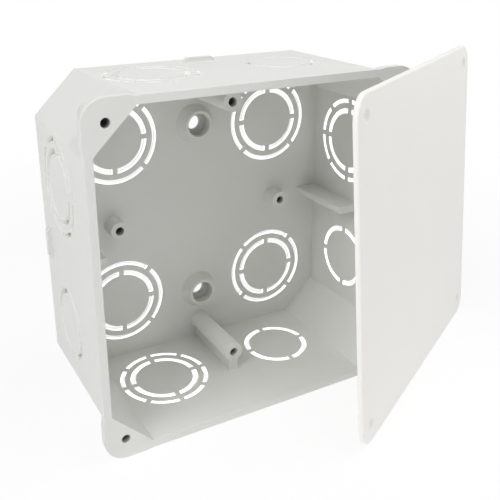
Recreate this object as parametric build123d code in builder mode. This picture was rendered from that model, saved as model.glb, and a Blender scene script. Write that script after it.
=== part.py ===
from build123d import *
import math
import os

# A square flush junction box with cut corners, and its flat cover leaning against it.
# The origin is the middle of the back wall's outer face, +Z is up and the open front faces -Y.

os.makedirs("parts", exist_ok=True)

# Shell of the box
box_width = 100.0
box_depth = 47.0
wall = 2.2
corner_wall = 1.15
back_wall = 2.0
corner_cut = 14.3
outer_draft = 1.35
inner_draft = 1.55
back_edge_cut = 0.5

# Ears at the open front, with a screw tube behind each
ear_thickness = 2.3
ear_stand_out = 0.3
ear_length = 11.9
ear_radius = 6.5
ear_sink = 0.2
cover_screw_inset = 6.05
cover_screw_hole = 2.6
tube_diameter = 5.6
tube_length = 10.0
tube_end = 1.2

# Lugs on the outside of the walls
lug_rise = 5.2
lug_depth = 1.7
lug_tip_width = 8.0
lug_angle = 53.0

# Posts on the inside of the back wall
post_screw_hole = 2.7
pillar_diameter = 6.0
pillar_height = 25.5
pillar_stand_off = 5.9
pillar_hole_depth = 15.0
web_thickness = 3.2
web_drop = 0.4
rib_thickness = 2.2
rib_height = 25.0
rib_reach = 7.2
rib_nose_radius = 0.8
short_boss_diameter = 5.7
short_boss_height = 6.2
short_boss_spacing = 57.4
mount_ring_diameter = 12.4
mount_ring_taper = 26.0
mount_ring_height = 3.6
mount_bore = 7.3
mount_hole = 4.5
mount_spacing = 58.0

# Knock-outs: rings of slots that leave a disc on thin bridges
large_ring_radius = 13.15
large_slot = 1.35
small_ring_radius = 9.85
small_slot = 1.65
bridge = 1.6
back_knockout_margin = 5.85
side_knockout_rise = 4.4
double_gap = 7.45
single_gap = 9.5

# Cover, and how it leans
cover_width = 100.4
cover_thickness = 1.5
cover_edge_cut = 0.45
dish_diameter = 4.2
dish_floor = 1.4
dish_depth = 0.6
cover_turn = 30.1
cover_lean = 4.4
cover_shift = 2.0
cover_gap = 0.05

# Outlines of the shell
front_half = box_width / 2
back_half = front_half - box_depth * math.tan(math.radians(outer_draft))
corner_line = 2 * front_half - corner_cut
cavity_depth = box_depth - back_wall
mouth_plane = Plane.XZ.offset(box_depth)
mouth_half = front_half - wall
mouth_cut = 2 * mouth_half - corner_line + corner_wall * math.sqrt(2)
floor_half = mouth_half - cavity_depth * math.tan(math.radians(inner_draft))
wall_middle = (floor_half + back_half) / 2

# Places of the ears, lugs and posts
outline_half = front_half + ear_stand_out
ear_start = outline_half - ear_length
cover_screw_spacing = 2 * (outline_half - cover_screw_inset)
tube_start = box_depth - ear_thickness - tube_length
lug_height = outline_half - wall_middle
lug_root_width = lug_tip_width + 2 * lug_height / math.tan(math.radians(lug_angle))
pillar_spacing = 2 * (floor_half - pillar_stand_off)
web_length = wall_middle - pillar_spacing / 2
rib_length = wall_middle - floor_half + rib_reach

# Places of the knock-outs
large_edge = large_ring_radius + large_slot / 2
small_edge = small_ring_radius + small_slot / 2
back_knockout_spacing = 2 * (floor_half - back_knockout_margin - large_edge)
side_knockout_height = back_wall + side_knockout_rise + large_edge
double_place = double_gap + large_edge
single_place = single_gap + small_edge

# The side walls, each with its outward direction and the way from its middle to its double knock-out
side_walls = (
    (Vector(0, 0, 1), Vector(-1, 0, 0)),
    (Vector(0, 0, -1), Vector(-1, 0, 0)),
    (Vector(1, 0, 0), Vector(0, 0, 1)),
    (Vector(-1, 0, 0), Vector(0, 0, 1)),
)


def side_wall_plane(outward, along):
    """Plane of a drafted side wall's outer face, with its origin level with the knock-outs."""
    slope = math.radians(outer_draft)
    to_back = Vector(0, 1, 0)
    half_width = back_half + side_knockout_height * math.tan(slope)
    origin = outward * half_width - to_back * side_knockout_height
    normal = outward * math.cos(slope) + to_back * math.sin(slope)
    return Plane(origin=origin, x_dir=along, z_dir=normal)


def slot_ring(radius, slot, first_bridge, bridge_step):
    """One ring of slots in the sketch being drawn, with bridges at even steps round it."""
    Circle(radius + slot / 2)
    Circle(radius - slot / 2, mode=Mode.SUBTRACT)
    for turn in range(first_bridge, 180, bridge_step):
        Rectangle(2 * radius + 2 * slot, bridge, rotation=turn, mode=Mode.SUBTRACT)


with BuildPart() as box_body:
    # Block with cut corners, its four straight walls drafted towards the back
    with BuildSketch(Plane.XZ) as outline:
        Rectangle(box_width, box_width)
        chamfer(outline.vertices(), corner_cut)
    extrude(amount=box_depth)
    straight_walls = box_body.faces().filter_by(Axis.X) + box_body.faces().filter_by(Axis.Z)
    draft(straight_walls, mouth_plane, -outer_draft)

    # Cavity, drafted on all its sides
    with BuildSketch(Plane.XZ.offset(back_wall)) as mouth_outline:
        Rectangle(2 * mouth_half, 2 * mouth_half)
        chamfer(mouth_outline.vertices(), mouth_cut)
    extrude(amount=cavity_depth, mode=Mode.SUBTRACT)
    draft(box_body.faces(Select.LAST).filter_by(Plane.XZ, reverse=True), mouth_plane, inner_draft)
    chamfer(box_body.faces().sort_by(Axis.Y)[-1].edges(), back_edge_cut)

    # Corner ears and the screw tubes behind them
    with BuildSketch(Plane.XZ.offset(box_depth - ear_thickness)) as ears:
        with BuildLine():
            Polyline(
                (front_half - ear_sink, corner_line - front_half),
                (outline_half, ear_start),
                (outline_half, outline_half),
                (ear_start, outline_half),
                (corner_line - front_half, front_half - ear_sink),
                close=True,
            )
        make_face()
        fillet(ears.vertices().sort_by(SortBy.DISTANCE)[-1], ear_radius)
        mirror(about=Plane.YZ)
        mirror(about=Plane.XZ)
    extrude(amount=ear_thickness)
    with BuildSketch(Plane.XZ.offset(tube_start)):
        with GridLocations(cover_screw_spacing, cover_screw_spacing, 2, 2):
            Circle(tube_diameter / 2)
    extrude(amount=tube_length)

    # Lugs in the middle of each wall
    with BuildSketch(Plane.XZ.offset(lug_rise)):
        with PolarLocations((wall_middle + outline_half) / 2, 4):
            Trapezoid(lug_root_width, lug_height, lug_angle, rotation=-90)
    extrude(amount=lug_depth)

    # Tall pillars with webs to the top and bottom walls
    with BuildSketch(Plane.XZ.offset(back_wall)):
        with GridLocations(1, pillar_spacing, 1, 2):
            Circle(pillar_diameter / 2)
    extrude(amount=pillar_height)
    with BuildSketch(Plane.XZ.offset(back_wall)):
        with GridLocations(1, pillar_spacing + web_length, 1, 2):
            Rectangle(web_thickness, web_length)
    extrude(amount=pillar_height - web_drop)

    # Ribs on the left and right walls, each with a rounded nose
    with BuildSketch(Plane.XZ.offset(back_wall)) as ribs:
        with Locations((wall_middle - rib_length / 2, 0)):
            Rectangle(rib_length, rib_thickness)
        fillet(ribs.vertices().group_by(Axis.X)[0], rib_nose_radius)
        mirror(about=Plane.YZ)
    extrude(amount=rib_height)

    # Short screw bosses and mounting rings
    with BuildSketch(Plane.XZ.offset(back_wall)):
        with GridLocations(short_boss_spacing, 1, 2, 1):
            Circle(short_boss_diameter / 2)
    extrude(amount=short_boss_height)
    with BuildSketch(Plane.XZ.offset(back_wall)):
        with GridLocations(1, mount_spacing, 1, 2):
            Circle(mount_ring_diameter / 2)
    extrude(amount=mount_ring_height, taper=mount_ring_taper)

    # Screw holes
    with Locations(Plane.XZ.offset(box_depth)):
        with GridLocations(cover_screw_spacing, cover_screw_spacing, 2, 2):
            Hole(cover_screw_hole / 2, depth=ear_thickness + tube_length - tube_end)
    with Locations(Plane.XZ.offset(back_wall + pillar_height)):
        with GridLocations(1, pillar_spacing, 1, 2):
            Hole(post_screw_hole / 2, depth=pillar_hole_depth)
    with Locations(Plane.XZ.offset(back_wall + short_boss_height)):
        with GridLocations(short_boss_spacing, 1, 2, 1):
            Hole(post_screw_hole / 2, depth=short_boss_height)
    with Locations(Plane.XZ.offset(back_wall + mount_ring_height)):
        with GridLocations(1, mount_spacing, 1, 2):
            CounterBoreHole(mount_hole / 2, mount_bore / 2, mount_ring_height)

    # Double knock-outs in the back wall
    with BuildSketch(Plane.XZ):
        with GridLocations(back_knockout_spacing, back_knockout_spacing, 2, 2):
            slot_ring(large_ring_radius, large_slot, 45, 90)
    extrude(amount=2 * back_wall, both=True, mode=Mode.SUBTRACT)
    with BuildSketch(Plane.XZ):
        with GridLocations(back_knockout_spacing, back_knockout_spacing, 2, 2):
            slot_ring(small_ring_radius, small_slot, 0, 90)
    extrude(amount=2 * back_wall, both=True, mode=Mode.SUBTRACT)

    # A double and a single knock-out in each side wall
    for outward, along in side_walls:
        wall_plane = side_wall_plane(outward, along)
        with BuildSketch(wall_plane):
            with Locations((double_place, 0)):
                slot_ring(large_ring_radius, large_slot, 0, 45)
        extrude(amount=2 * wall, both=True, mode=Mode.SUBTRACT)
        with BuildSketch(wall_plane):
            with Locations((double_place, 0), (-single_place, 0)):
                slot_ring(small_ring_radius, small_slot, 0, 90)
        extrude(amount=2 * wall, both=True, mode=Mode.SUBTRACT)

box_body.part.label = "box_body"
export_step(box_body.part, "parts/box_body.step")

# The cover stands on the floor under the box and leans on the right ear's rounded front corner
turn = math.radians(cover_turn)
lean = math.radians(cover_lean)
cover_face = Vector(math.sin(turn) * math.cos(lean), -math.cos(turn) * math.cos(lean), math.sin(lean))
cover_right = Vector(math.cos(turn), math.sin(turn), 0)
ear_centre = outline_half - ear_radius
ear_reach = ear_radius / math.hypot(cover_face.X, cover_face.Z)
touch_point = Vector(
    ear_centre + ear_reach * cover_face.X,
    -box_depth,
    ear_centre + ear_reach * cover_face.Z,
)
cover_rise = cover_width / 2 * math.cos(lean) + cover_thickness / 2 * math.sin(lean) - outline_half
face_distance = touch_point.dot(cover_face) + cover_gap + cover_thickness / 2
face_distance = (face_distance - cover_rise * math.sin(lean)) / math.cos(lean)
side_distance = touch_point.dot(cover_right) + cover_shift
cover_centre = Vector(
    math.sin(turn) * face_distance + math.cos(turn) * side_distance,
    math.sin(turn) * side_distance - math.cos(turn) * face_distance,
    cover_rise,
)
cover_plane = Plane(origin=cover_centre, x_dir=cover_right, z_dir=cover_face)

with BuildPart() as cover:
    with BuildSketch(cover_plane.offset(-cover_thickness / 2)):
        RectangleRounded(cover_width, cover_width, ear_radius)
    extrude(amount=cover_thickness)
    chamfer(cover.faces().sort_by(Axis(cover_centre, cover_face))[-1].edges(), cover_edge_cut)

    # Shallow dished marks over the ears' screw holes
    with Locations(cover_plane.offset((cover_thickness - dish_depth) / 2)):
        with GridLocations(cover_screw_spacing, cover_screw_spacing, 2, 2):
            Cone(dish_floor / 2, dish_diameter / 2, dish_depth, mode=Mode.SUBTRACT)

cover.part.label = "cover"
export_step(cover.part, "parts/cover.step")
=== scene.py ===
import math
import bpy
import bmesh
from mathutils import Matrix, Vector


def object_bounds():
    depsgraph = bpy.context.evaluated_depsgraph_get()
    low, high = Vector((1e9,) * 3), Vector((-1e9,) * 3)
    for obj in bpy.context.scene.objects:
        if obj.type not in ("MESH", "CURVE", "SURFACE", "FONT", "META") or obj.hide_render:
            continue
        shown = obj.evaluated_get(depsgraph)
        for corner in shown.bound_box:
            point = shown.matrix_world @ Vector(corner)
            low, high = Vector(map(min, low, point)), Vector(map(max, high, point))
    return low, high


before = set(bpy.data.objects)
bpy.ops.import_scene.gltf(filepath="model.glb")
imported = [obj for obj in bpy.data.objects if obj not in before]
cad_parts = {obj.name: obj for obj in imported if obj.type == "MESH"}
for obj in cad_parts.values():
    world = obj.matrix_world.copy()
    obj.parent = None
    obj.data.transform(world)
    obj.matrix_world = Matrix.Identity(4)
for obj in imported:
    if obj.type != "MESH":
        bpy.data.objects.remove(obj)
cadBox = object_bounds()
scene = bpy.context.scene
scene.view_settings.view_transform = "Standard"
mm = 0.001  # the frame is in metres, and the sizes below are in millimetres
white = "#FFFFFF"
black = "#000000"
print("frame loaded:", sorted(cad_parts))


def linearColour(hexColour):
    channels = [int(hexColour[i:i + 2], 16) / 255 for i in (1, 3, 5)]
    return [c / 12.92 if c <= 0.04045 else ((c + 0.055) / 1.055) ** 2.4 for c in channels] + [1.0]


def addNode(tree, kind, inputs=None, **settings):
    node = tree.nodes.new(kind)
    for name, value in settings.items():
        setattr(node, name, value)
    for socket, value in (inputs or {}).items():
        if isinstance(value, bpy.types.NodeSocket):
            tree.links.new(value, node.inputs[socket])
        else:
            node.inputs[socket].default_value = value
    return node


def emptyMaterial(name):
    material = bpy.data.materials.new(name)
    material.use_nodes = True
    material.node_tree.nodes.clear()
    return material, material.node_tree


def showBackground(tree):
    # 1 where the eye, a reflection or a see-through surface looks, 0 for light that falls on the object
    path = addNode(tree, "ShaderNodeLightPath").outputs
    seen = addNode(tree, "ShaderNodeMath", {0: path["Is Camera Ray"], 1: path["Is Glossy Ray"]},
                   operation="MAXIMUM").outputs[0]
    return addNode(tree, "ShaderNodeMath", {0: seen, 1: path["Is Transmission Ray"]},
                   operation="MAXIMUM").outputs[0]


# Camera, where the photograph was taken from
photoView = {
    "eye": (-100.07, -210.94, 87.55),
    "forward": (0.47928, 0.80294, -0.35437),
    "up": (0.17362, 0.30905, 0.93506),
    "lens": 54.0,
    "shift": (-0.0211, -0.0818),
    "nearest": 5.0,  # nothing closer to the eye is drawn
}
forward = Vector(photoView["forward"]).normalized()
right = forward.cross(Vector(photoView["up"])).normalized()
cameraTurn = Matrix((right, right.cross(forward), -forward)).transposed().to_4x4()
cameraData = bpy.data.cameras.new("camera")
cameraData.lens = photoView["lens"]
cameraData.shift_x, cameraData.shift_y = photoView["shift"]
cameraData.clip_start = photoView["nearest"] * mm
camera = bpy.data.objects.new("camera", cameraData)
camera.matrix_world = Matrix.Translation(Vector(photoView["eye"]) * mm) @ cameraTurn
scene.collection.objects.link(camera)
scene.camera = camera
print("camera placed")

# Soft studio light: a dim white room, square soft boxes high on the left, on the right and in front,
# and weak fills beside the eye and on the right
studio = {
    "room": 0.2,
    "white": 1.0,  # what the eye sees of the room
    "lamps": {
        "highLeft": {"place": (-260, -260, 520), "aim": (20, -40, -30), "size": 300, "power": 0.27},
        "frontHigh": {"place": (60, -430, 330), "aim": (10, -20, 0), "size": 250, "power": 0.25},
        "highRight": {"place": (190, -150, 570), "aim": (10, -30, -30), "size": 300, "power": 1.34},
        "leftHigh": {"place": (-450, -200, 420), "aim": (10, -30, -30), "size": 300, "power": 1.85},
        "eyeFill": {"place": (-190, -420, 150), "aim": (10, -20, 0), "size": 160, "power": 0.05},
        "rightFill": {"place": (620, -40, 200), "aim": (40, -40, 0), "size": 500, "power": 0.46},
    },
}
world = bpy.data.worlds.new("whiteRoom")
world.use_nodes = True
tree = world.node_tree
tree.nodes.clear()
level = addNode(tree, "ShaderNodeMapRange", {
    "Value": showBackground(tree), "To Min": studio["room"], "To Max": studio["white"]})
room = addNode(tree, "ShaderNodeBackground", {"Color": linearColour(white), "Strength": level.outputs[0]})
addNode(tree, "ShaderNodeOutputWorld", {"Surface": room.outputs[0]})
scene.world = world
for name, lamp in studio["lamps"].items():
    light = bpy.data.lights.new(name, "AREA")
    light.shape = "SQUARE"
    light.size = lamp["size"] * mm
    light.energy = lamp["power"]
    lightObject = bpy.data.objects.new(name, light)
    lampPlace = Vector(lamp["place"]) * mm
    lampTurn = (Vector(lamp["aim"]) * mm - lampPlace).to_track_quat("-Z", "Y").to_matrix().to_4x4()
    lightObject.matrix_world = Matrix.Translation(lampPlace) @ lampTurn
    scene.collection.objects.link(lightObject)
print("studio light ready")

# Pale floor of matt white paper, which keeps a soft shadow near the box and turns to plain white farther out
floorSheet = {
    "width": 6000,
    "colour": "#FAFAFA",
    "shadow": 0.12,  # share of the paper's own shading that the eye sees near the box
    "shadowEnds": (110, 300),
    "white": 1.0,
    "bounce": 0.2,  # light that the bright paper throws back at the box
}
shape = bmesh.new()
bmesh.ops.create_grid(shape, x_segments=1, y_segments=1, size=floorSheet["width"] / 2 * mm)
bmesh.ops.translate(shape, verts=shape.verts, vec=(0, 0, cadBox[0].z))
floorMesh = bpy.data.meshes.new("floor")
shape.to_mesh(floorMesh)
shape.free()
floor = bpy.data.objects.new("floor", floorMesh)
scene.collection.objects.link(floor)

paper, tree = emptyMaterial("whitePaperSweep")
seen = showBackground(tree)
matt = addNode(tree, "ShaderNodeBsdfDiffuse", {"Color": linearColour(floorSheet["colour"])})
thrown = addNode(tree, "ShaderNodeMapRange", {"Value": seen, "To Min": floorSheet["bounce"], "To Max": 0.0})
bounce = addNode(tree, "ShaderNodeEmission", {"Color": linearColour(white), "Strength": thrown.outputs[0]})
shaded = addNode(tree, "ShaderNodeAddShader", {0: matt.outputs[0], 1: bounce.outputs[0]})
plain = addNode(tree, "ShaderNodeEmission", {"Color": linearColour(white), "Strength": floorSheet["white"]})
place = addNode(tree, "ShaderNodeTexCoord").outputs["Object"]
away = addNode(tree, "ShaderNodeVectorMath", {0: place}, operation="LENGTH").outputs["Value"]
fadeStart, fadeEnd = (end * mm for end in floorSheet["shadowEnds"])
fade = addNode(tree, "ShaderNodeMapRange", {
    "Value": away, "From Min": fadeStart, "From Max": fadeEnd,
    "To Min": 1 - floorSheet["shadow"], "To Max": 1.0}, interpolation_type="SMOOTHSTEP")
share = addNode(tree, "ShaderNodeMath", {0: seen, 1: fade.outputs[0]}, operation="MULTIPLY")
surface = addNode(tree, "ShaderNodeMixShader", {
    0: share.outputs[0], 1: shaded.outputs[0], 2: plain.outputs[0]})
addNode(tree, "ShaderNodeOutputMaterial", {"Surface": surface.outputs[0]})
floorMesh.materials.append(paper)
print("floor laid")

# What both mouldings share: how their edges are rounded, in mm and degrees, and how fine their patterns go
moulding = {
    "joinWithin": 0.002,
    "flatWithin": 0.4,
    "sharpFrom": 30,
    "edgeSteps": 2,
    "detail": {"cloud": 3.0, "sheenPatch": 2.0, "grain": 1.0},
}


def finishNode(nodeName, material, edgeWidth):
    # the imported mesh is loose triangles: joined, flat parts made whole, then its edges rounded
    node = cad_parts[nodeName]
    node.data.materials.clear()
    node.data.materials.append(material)
    join = node.modifiers.new("join", "WELD")
    join.merge_threshold = moulding["joinWithin"] * mm
    whole = node.modifiers.new("whole", "DECIMATE")
    whole.decimate_type = "DISSOLVE"
    whole.angle_limit = math.radians(moulding["flatWithin"])
    edge = node.modifiers.new("edge", "BEVEL")
    edge.width = edgeWidth * mm
    edge.segments = moulding["edgeSteps"]
    edge.limit_method = "ANGLE"
    edge.angle_limit = math.radians(moulding["sharpFrom"])
    edge.harden_normals = True


def mouldedSkin(tree, place, piece):
    # soft clouds in the colour, patches of sheen, and the mould's fine grain
    noise = {}
    for name, detail in moulding["detail"].items():
        noise[name] = addNode(tree, "ShaderNodeTexNoise", {
            "Vector": place, "Scale": 1 / (piece[name] * mm), "Detail": detail}).outputs["Fac"]
    colour = addNode(tree, "ShaderNodeMix", {
        0: noise["cloud"], 6: linearColour(piece["colour"]), 7: linearColour(piece["cloudColour"])},
        data_type="RGBA").outputs[2]  # sockets 6, 7 and 2 are the colours
    smoothest, dullest = piece["roughness"]
    gloss = addNode(tree, "ShaderNodeMapRange", {
        "Value": noise["sheenPatch"], "To Min": smoothest, "To Max": dullest}).outputs[0]
    normal = addNode(tree, "ShaderNodeBump", {
        "Height": noise["grain"], "Strength": piece["grainStrength"],
        "Distance": piece["grainDepth"] * mm}).outputs[0]
    return colour, gloss, normal


def zone(tree, measures, limits):
    # 1 where every measure lies between its limits
    mask = None
    for name, (low, high) in limits.items():
        part = addNode(tree, "ShaderNodeMath", {
            0: measures[name], 1: (low + high) / 2, 2: (high - low) / 2}, operation="COMPARE").outputs[0]
        if mask is not None:
            part = addNode(tree, "ShaderNodeMath", {0: mask, 1: part}, operation="MULTIPLY").outputs[0]
        mask = part
    return mask


# Box moulding: polypropylene from a lightly eroded mould, so a satin light grey with soft cloudy flow in it
least, most = -1.0, 200.0  # below and above every distance on the box
boxBody = {
    "colour": "#DCDDD9",
    "cloudColour": "#E1E1DE",
    "cloud": 22.0,
    "roughness": (0.40, 0.52),
    "sheenPatch": 3.5,
    "grain": 0.45,  # coarser than a real mould's, so that it shows at the render's size
    "grainDepth": 0.012,
    "grainStrength": 0.35,
    "ior": 1.49,
    "edge": 0.2,
    "draft": 0.0253,  # how far the walls lean out for each mm towards the open front
    # painted light: how strongly the slots' walls glow
    "slotPaintedGlow": 0.6,
    # slot zones with their painted glow, and on the back, right and bottom walls a painted near-white colour
    "slots": {
        "left": {"paintedGlow": "#7B7B78", "colour": None, "within": {
            "upright": (47.6, 48.78), "depth": (5.5, 35.5), "near": (least, 35.5), "x": (-60.0, -44.0)}},
        "top": {"paintedGlow": "#9B9B98", "colour": None, "within": {
            "upright": (47.6, 48.78), "depth": (5.5, 35.5), "near": (least, 35.5), "z": (44.0, 60.0)}},
        "rightAndBottom": {"paintedGlow": "#FCFCFA", "colour": "#FCFCFA", "within": {
            "upright": (46.8, 48.72), "depth": (5.5, 35.5), "near": (least, 35.5), "rightOrLow": (0.0, most)}},
        "back": {"paintedGlow": "#FCFCFA", "colour": "#FCFCFA", "within": {
            "depth": (0.5, 1.82), "far": (12.5, 41.5), "near": (12.5, 41.5)}},
    },
    # painted shade inside the screw holes and bores: where each lies, how deep, and its darker colour
    "holes": [
        {"at": (44.25, 44.25), "radius": 1.32, "mouth": 47.0, "end": 35.5, "fade": 2.6, "colour": "#70716B"},
        {"at": (0.0, 40.68), "radius": 1.37, "mouth": 27.5, "end": 12.0, "fade": 2.6, "colour": "#70716B"},
        {"at": (28.7, 0.0), "radius": 1.37, "mouth": 8.2, "end": 1.9, "fade": 2.6, "colour": "#70716B"},
        {"at": (0.0, 29.0), "radius": 3.7, "mouth": 5.55, "end": 0.6, "fade": 3.0, "colour": "#C2C3BD"},
    ],
}
boxPlastic, tree = emptyMaterial("mouldedGreyPolypropylene")
place = addNode(tree, "ShaderNodeTexCoord").outputs["Object"]
colour, gloss, normal = mouldedSkin(tree, place, boxBody)

# places on the box in mm: depth is from the back, far and near are the larger and smaller distance from the
# middle, sideways or upwards, and upright is far with the walls' lean taken off
sized = addNode(tree, "ShaderNodeVectorMath", {0: place, "Scale": 1 / mm}, operation="SCALE").outputs[0]
apart = addNode(tree, "ShaderNodeVectorMath", {0: sized}, operation="ABSOLUTE").outputs[0]
signed = addNode(tree, "ShaderNodeSeparateXYZ", {0: sized}).outputs
axis = addNode(tree, "ShaderNodeSeparateXYZ", {0: apart}).outputs
depth = axis["Y"]
far = addNode(tree, "ShaderNodeMath", {0: axis["X"], 1: axis["Z"]}, operation="MAXIMUM").outputs[0]
near = addNode(tree, "ShaderNodeMath", {0: axis["X"], 1: axis["Z"]}, operation="MINIMUM").outputs[0]
upright = addNode(tree, "ShaderNodeMath", {0: depth, 1: -boxBody["draft"], 2: far},
                  operation="MULTIPLY_ADD").outputs[0]
rightOrLow = addNode(tree, "ShaderNodeMath", {0: signed["X"], 1: signed["Z"]},
                     operation="SUBTRACT").outputs[0]
measures = {
    "depth": depth, "far": far, "near": near, "upright": upright,
    "x": signed["X"], "z": signed["Z"], "rightOrLow": rightOrLow,
}

# painted light: the slots' walls glow though they are no lamp; on the back, right and bottom walls they are
# painted nearly white, and on the left and top ones the glow brings them about as light as the wall itself
paintedGlow = linearColour(black)
for slot in boxBody["slots"].values():
    paintedSlotMask = zone(tree, measures, slot["within"])
    paintedGlow = addNode(tree, "ShaderNodeMix", {0: paintedSlotMask, 6: paintedGlow, 7: linearColour(slot["paintedGlow"])},
                   data_type="RGBA").outputs[2]
    if slot["colour"]:
        colour = addNode(tree, "ShaderNodeMix", {0: paintedSlotMask, 6: colour, 7: linearColour(slot["colour"])},
                         data_type="RGBA").outputs[2]

# painted shade: the screw holes and the bores of the mounting rings get a darker colour a little way in, for
# the shade that deep holes hold
across = addNode(tree, "ShaderNodeVectorMath", {0: apart, 1: (1, 0, 1)}, operation="MULTIPLY").outputs[0]
for hole in boxBody["holes"]:
    middle = (hole["at"][0], 0, hole["at"][1])
    reach = addNode(tree, "ShaderNodeVectorMath", {0: across, 1: middle},
                    operation="DISTANCE").outputs["Value"]
    inside = zone(tree, {"reach": reach, "depth": depth}, {
        "reach": (least, hole["radius"]), "depth": (hole["end"], hole["mouth"])})
    sunk = addNode(tree, "ShaderNodeMapRange", {
        "Value": depth, "From Min": hole["mouth"], "From Max": hole["mouth"] - hole["fade"]}).outputs[0]
    paintedHoleShade = addNode(tree, "ShaderNodeMath", {0: sunk, 1: inside}, operation="MULTIPLY").outputs[0]
    colour = addNode(tree, "ShaderNodeMix", {0: paintedHoleShade, 6: colour, 7: linearColour(hole["colour"])},
                     data_type="RGBA").outputs[2]

# the slots' painted glow goes in as the emission
shader = addNode(tree, "ShaderNodeBsdfPrincipled", {
    "Base Color": colour, "Roughness": gloss, "Normal": normal, "IOR": boxBody["ior"],
    "Emission Color": paintedGlow, "Emission Strength": boxBody["slotPaintedGlow"]})
addNode(tree, "ShaderNodeOutputMaterial", {"Surface": shader.outputs[0]})
finishNode("box_body", boxPlastic, boxBody["edge"])
print("box moulding finished")

# Cover moulding: ABS from a finer mould, so a warm white that is a little smoother than the box
coverPlate = {
    "colour": "#F2F0EC",
    "cloudColour": "#F5F3EF",
    "cloud": 35.0,
    "roughness": (0.36, 0.46),
    "sheenPatch": 5.0,
    "grain": 0.4,  # coarser than a real mould's, as on the box
    "grainDepth": 0.008,
    "grainStrength": 0.3,
    "ior": 1.53,
    "edge": 0.2,
    "facing": (0.5, -0.8626, 0.0767),
    "marks": [(17.59, -74.94, -44.3), (94.15, -30.56, -44.3), (14.18, -69.07, 43.94), (90.75, -24.69, 43.94)],
    # painted shade colour in the dished marks
    "markPaintedShade": "#EBE9E5",
    "markReach": (1.95, 2.5),
    "markLift": 1.8,
}
coverPlastic, tree = emptyMaterial("mouldedWhiteAbs")
place = addNode(tree, "ShaderNodeTexCoord").outputs["Object"]
colour, gloss, normal = mouldedSkin(tree, place, coverPlate)

# painted shade: the four dished marks get a slightly darker colour for the shade they hold; each is measured
# from a point in front of it, so that the cover's back stays plain
lifted = Vector(coverPlate["facing"]) * coverPlate["markLift"]
markInner, markOuter = (reach * mm for reach in coverPlate["markReach"])
for mark in coverPlate["marks"]:
    middle = (Vector(mark) + lifted) * mm
    reach = addNode(tree, "ShaderNodeVectorMath", {0: place, 1: middle}, operation="DISTANCE").outputs["Value"]
    paintedMarkShade = addNode(tree, "ShaderNodeMapRange", {"Value": reach, "From Min": markOuter, "From Max": markInner},
                  interpolation_type="SMOOTHSTEP").outputs[0]
    colour = addNode(tree, "ShaderNodeMix", {0: paintedMarkShade, 6: colour, 7: linearColour(coverPlate["markPaintedShade"])},
                     data_type="RGBA").outputs[2]

shader = addNode(tree, "ShaderNodeBsdfPrincipled", {
    "Base Color": colour, "Roughness": gloss, "Normal": normal, "IOR": coverPlate["ior"]})
addNode(tree, "ShaderNodeOutputMaterial", {"Surface": shader.outputs[0]})
finishNode("cover", coverPlastic, coverPlate["edge"])
print("cover moulding finished")
